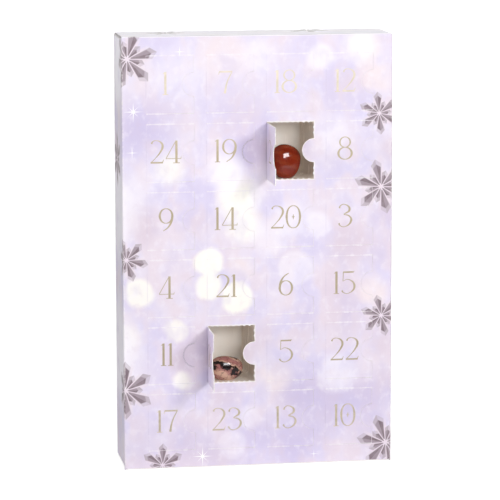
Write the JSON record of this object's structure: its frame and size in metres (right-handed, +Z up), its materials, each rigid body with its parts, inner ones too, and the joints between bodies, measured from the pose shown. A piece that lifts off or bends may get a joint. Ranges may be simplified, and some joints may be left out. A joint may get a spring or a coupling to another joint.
{
  "type": "gemstone advent calendar",
  "caption": "Upright folding-carton advent calendar: numbered tear-open doors on vertical creases over a formed tray, with a tumbled stone in each pocket, under a tuck-in lid.",
  "frame": {"origin": "centre of the carton's base, on the surface it stands on", "axes": "+Z up the carton's height, -Y out of the printed front with the doors, +X to the right as seen from the front"},
  "size_m": [0.188, 0.0788, 0.3],
  "materials": {
    "printed_board": "coated boxboard, printed lilac, silk sheen",
    "bare_board": "uncoated grey-beige back of the board",
    "milky_tray": "thin formed plastic, milky white, satin",
    "amethyst": "tumbled and polished amethyst",
    "carnelian": "tumbled and polished carnelian",
    "citrine": "tumbled and polished citrine",
    "clear_quartz": "tumbled and polished clear quartz",
    "green_aventurine": "tumbled and polished green aventurine",
    "howlite": "tumbled and polished howlite",
    "obsidian": "tumbled and polished obsidian",
    "red_jasper": "tumbled and polished red jasper",
    "rhodonite": "tumbled and polished rhodonite",
    "rose_quartz": "tumbled and polished rose quartz",
    "sodalite": "tumbled and polished sodalite",
    "tiger_eye": "tumbled and polished tiger eye"
  },
  "bodies": {
    "carton": {"carton_sleeve": "printed_board", "formed_tray": "milky_tray", "top_dust_flap_left": "bare_board", "top_dust_flap_right": "bare_board", "stone_01": "amethyst", "stone_02": "carnelian", "stone_03": "green_aventurine", "stone_04": "rose_quartz", "stone_05": "sodalite", "stone_06": "tiger_eye", "stone_07": "clear_quartz", "stone_08": "red_jasper", "stone_09": "howlite", "stone_10": "obsidian", "stone_11": "citrine", "stone_12": "rhodonite", "stone_13": "amethyst", "stone_14": "green_aventurine", "stone_15": "carnelian", "stone_16": "rhodonite", "stone_17": "sodalite", "stone_18": "rose_quartz", "stone_19": "tiger_eye", "stone_20": "howlite", "stone_21": "clear_quartz", "stone_22": "citrine", "stone_23": "red_jasper", "stone_24": "obsidian"},
    "door_01": {"door_01": "printed_board"},
    "door_02": {"door_02": "printed_board"},
    "door_03": {"door_03": "printed_board"},
    "door_04": {"door_04": "printed_board"},
    "door_05": {"door_05": "printed_board"},
    "door_06": {"door_06": "printed_board"},
    "door_07": {"door_07": "printed_board"},
    "door_08": {"door_08": "printed_board"},
    "door_09": {"door_09": "printed_board"},
    "door_10": {"door_10": "printed_board"},
    "door_11": {"door_11": "printed_board"},
    "door_12": {"door_12": "printed_board"},
    "door_13": {"door_13": "printed_board"},
    "door_14": {"door_14": "printed_board"},
    "door_15": {"door_15": "printed_board"},
    "door_16": {"door_16": "printed_board"},
    "door_17": {"door_17": "printed_board"},
    "door_18": {"door_18": "printed_board"},
    "door_19": {"door_19": "printed_board"},
    "door_20": {"door_20": "printed_board"},
    "door_21": {"door_21": "printed_board"},
    "door_22": {"door_22": "printed_board"},
    "door_23": {"door_23": "printed_board"},
    "door_24": {"door_24": "printed_board"},
    "lid": {"lid_panel": "printed_board"},
    "tuck_flap": {"tuck_flap": "printed_board"}
  },
  "joints": [
    {"name": "door_01_crease", "type": "hinge", "parent": "carton", "child": "door_01", "pos_m": [-0.0772, -0.023, 0.2672], "axis": [0, 0, -1], "range_deg": [0, 165]},
    {"name": "door_02_crease", "type": "hinge", "parent": "carton", "child": "door_02", "pos_m": [0.0058, -0.023, 0.2203], "axis": [0, 0, -1], "range_deg": [-89, 76]},
    {"name": "door_03_crease", "type": "hinge", "parent": "carton", "child": "door_03", "pos_m": [0.0473, -0.023, 0.1734], "axis": [0, 0, -1], "range_deg": [0, 165]},
    {"name": "door_04_crease", "type": "hinge", "parent": "carton", "child": "door_04", "pos_m": [-0.0772, -0.023, 0.1265], "axis": [0, 0, -1], "range_deg": [0, 165]},
    {"name": "door_05_crease", "type": "hinge", "parent": "carton", "child": "door_05", "pos_m": [0.0058, -0.023, 0.0796], "axis": [0, 0, -1], "range_deg": [0, 165]},
    {"name": "door_06_crease", "type": "hinge", "parent": "carton", "child": "door_06", "pos_m": [0.0058, -0.023, 0.1265], "axis": [0, 0, -1], "range_deg": [0, 165]},
    {"name": "door_07_crease", "type": "hinge", "parent": "carton", "child": "door_07", "pos_m": [-0.0357, -0.023, 0.2672], "axis": [0, 0, -1], "range_deg": [0, 165]},
    {"name": "door_08_crease", "type": "hinge", "parent": "carton", "child": "door_08", "pos_m": [0.0473, -0.023, 0.2203], "axis": [0, 0, -1], "range_deg": [0, 165]},
    {"name": "door_09_crease", "type": "hinge", "parent": "carton", "child": "door_09", "pos_m": [-0.0772, -0.023, 0.1734], "axis": [0, 0, -1], "range_deg": [0, 165]},
    {"name": "door_10_crease", "type": "hinge", "parent": "carton", "child": "door_10", "pos_m": [0.0473, -0.023, 0.0327], "axis": [0, 0, -1], "range_deg": [0, 165]},
    {"name": "door_11_crease", "type": "hinge", "parent": "carton", "child": "door_11", "pos_m": [-0.0772, -0.023, 0.0796], "axis": [0, 0, -1], "range_deg": [0, 165]},
    {"name": "door_12_crease", "type": "hinge", "parent": "carton", "child": "door_12", "pos_m": [0.0473, -0.023, 0.2672], "axis": [0, 0, -1], "range_deg": [0, 165]},
    {"name": "door_13_crease", "type": "hinge", "parent": "carton", "child": "door_13", "pos_m": [0.0058, -0.023, 0.0327], "axis": [0, 0, -1], "range_deg": [0, 165]},
    {"name": "door_14_crease", "type": "hinge", "parent": "carton", "child": "door_14", "pos_m": [-0.0357, -0.023, 0.1734], "axis": [0, 0, -1], "range_deg": [0, 165]},
    {"name": "door_15_crease", "type": "hinge", "parent": "carton", "child": "door_15", "pos_m": [0.0473, -0.023, 0.1265], "axis": [0, 0, -1], "range_deg": [0, 165]},
    {"name": "door_16_crease", "type": "hinge", "parent": "carton", "child": "door_16", "pos_m": [-0.0357, -0.023, 0.0796], "axis": [0, 0, -1], "range_deg": [-91, 74]},
    {"name": "door_17_crease", "type": "hinge", "parent": "carton", "child": "door_17", "pos_m": [-0.0772, -0.023, 0.0327], "axis": [0, 0, -1], "range_deg": [0, 165]},
    {"name": "door_18_crease", "type": "hinge", "parent": "carton", "child": "door_18", "pos_m": [0.0058, -0.023, 0.2672], "axis": [0, 0, -1], "range_deg": [0, 165]},
    {"name": "door_19_crease", "type": "hinge", "parent": "carton", "child": "door_19", "pos_m": [-0.0357, -0.023, 0.2203], "axis": [0, 0, -1], "range_deg": [0, 165]},
    {"name": "door_20_crease", "type": "hinge", "parent": "carton", "child": "door_20", "pos_m": [0.0058, -0.023, 0.1734], "axis": [0, 0, -1], "range_deg": [0, 165]},
    {"name": "door_21_crease", "type": "hinge", "parent": "carton", "child": "door_21", "pos_m": [-0.0357, -0.023, 0.1265], "axis": [0, 0, -1], "range_deg": [0, 165]},
    {"name": "door_22_crease", "type": "hinge", "parent": "carton", "child": "door_22", "pos_m": [0.0473, -0.023, 0.0796], "axis": [0, 0, -1], "range_deg": [0, 165]},
    {"name": "door_23_crease", "type": "hinge", "parent": "carton", "child": "door_23", "pos_m": [-0.0357, -0.023, 0.0327], "axis": [0, 0, -1], "range_deg": [0, 165]},
    {"name": "door_24_crease", "type": "hinge", "parent": "carton", "child": "door_24", "pos_m": [-0.0772, -0.023, 0.2203], "axis": [0, 0, -1], "range_deg": [0, 165]},
    {"name": "lid_crease", "type": "hinge", "parent": "carton", "child": "lid", "pos_m": [0, 0.023, 0.2993], "axis": [-1, 0, 0], "range_deg": [0, 100]},
    {"name": "tuck_crease", "type": "hinge", "parent": "lid", "child": "tuck_flap", "pos_m": [0, -0.0215, 0.2994], "axis": [1, 0, 0], "range_deg": [0, 66]}
  ],
  "couplings": [
    {"joint": "tuck_crease", "follows": "lid_crease", "ratio": 0.6}
  ]
}
